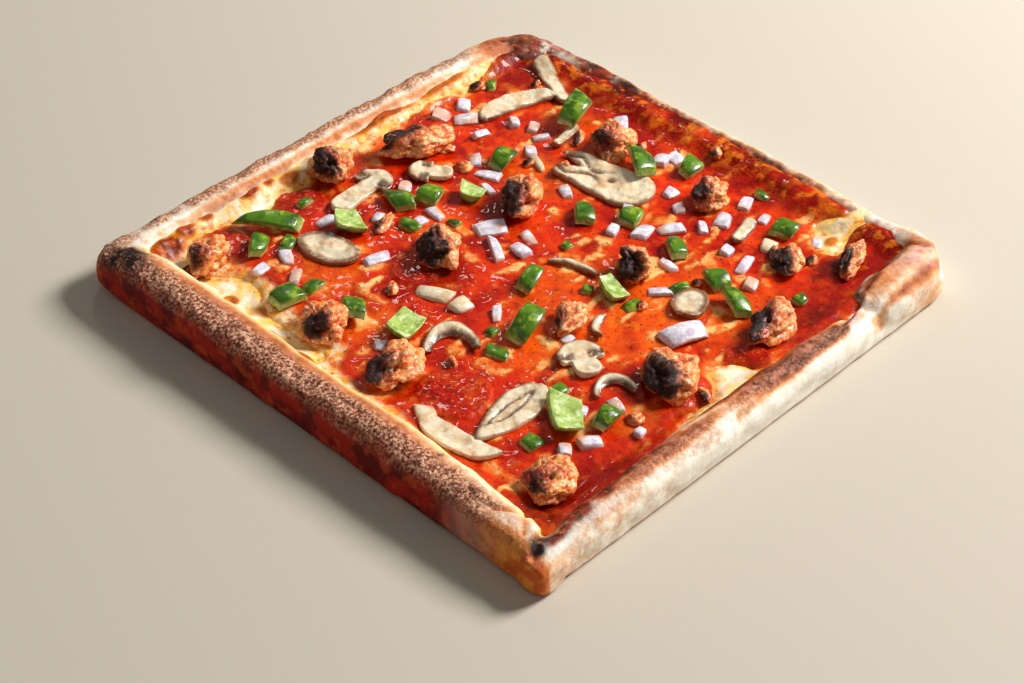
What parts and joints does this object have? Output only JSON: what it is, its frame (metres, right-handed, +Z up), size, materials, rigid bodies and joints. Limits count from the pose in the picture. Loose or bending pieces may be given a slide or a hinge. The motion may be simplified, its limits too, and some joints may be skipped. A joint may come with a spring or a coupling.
{
  "type": "square vegetable pizza",
  "caption": "Square pan pizza with a raised dough rim, melted cheese, tomato sauce, sausage, mushroom, green pepper and onion.",
  "frame": {"origin": "middle of the underside, on the table", "axes": "+Z up; +X along the front right rim from the near corner to the right corner; +Y along the front left rim from the near corner to the left corner"},
  "size_m": [0.2999, 0.3, 0.0326],
  "materials": {
    "dough": "baked, matt, floury on top",
    "cheese": "melted, slightly oily",
    "sauce": "wet, oily",
    "sausage": "browned, oily",
    "mushroom": "cooked, satin",
    "pepper": "glossy skin",
    "onion": "wet, slightly clear"
  },
  "bodies": {
    "root": {"crust": "dough", "cheese": "cheese", "sauce": "sauce", "sausage_01": "sausage", "sausage_02": "sausage", "sausage_03": "sausage", "sausage_04": "sausage", "sausage_05": "sausage", "sausage_06": "sausage", "sausage_07": "sausage", "sausage_08": "sausage", "sausage_09": "sausage", "sausage_10": "sausage", "sausage_11": "sausage", "sausage_12": "sausage", "sausage_13": "sausage", "sausage_14": "sausage", "sausage_15": "sausage", "sausage_16": "sausage", "mushroom_01": "mushroom", "mushroom_02": "mushroom", "mushroom_03": "mushroom", "mushroom_04": "mushroom", "mushroom_05": "mushroom", "mushroom_06": "mushroom", "mushroom_07": "mushroom", "mushroom_08": "mushroom", "mushroom_09": "mushroom", "mushroom_10": "mushroom", "mushroom_11": "mushroom", "mushroom_12": "mushroom", "mushroom_13": "mushroom", "mushroom_14": "mushroom", "mushroom_15": "mushroom", "mushroom_16": "mushroom", "pepper_01": "pepper", "pepper_02": "pepper", "pepper_03": "pepper", "pepper_04": "pepper", "pepper_05": "pepper", "pepper_06": "pepper", "pepper_07": "pepper", "pepper_08": "pepper", "pepper_09": "pepper", "pepper_10": "pepper", "pepper_11": "pepper", "pepper_12": "pepper", "pepper_13": "pepper", "pepper_14": "pepper", "pepper_15": "pepper", "pepper_16": "pepper", "pepper_17": "pepper", "pepper_18": "pepper", "pepper_19": "pepper", "pepper_20": "pepper", "pepper_21": "pepper", "pepper_22": "pepper", "pepper_23": "pepper", "pepper_24": "pepper", "onion_petal": "onion"}
  },
  "joints": []
}
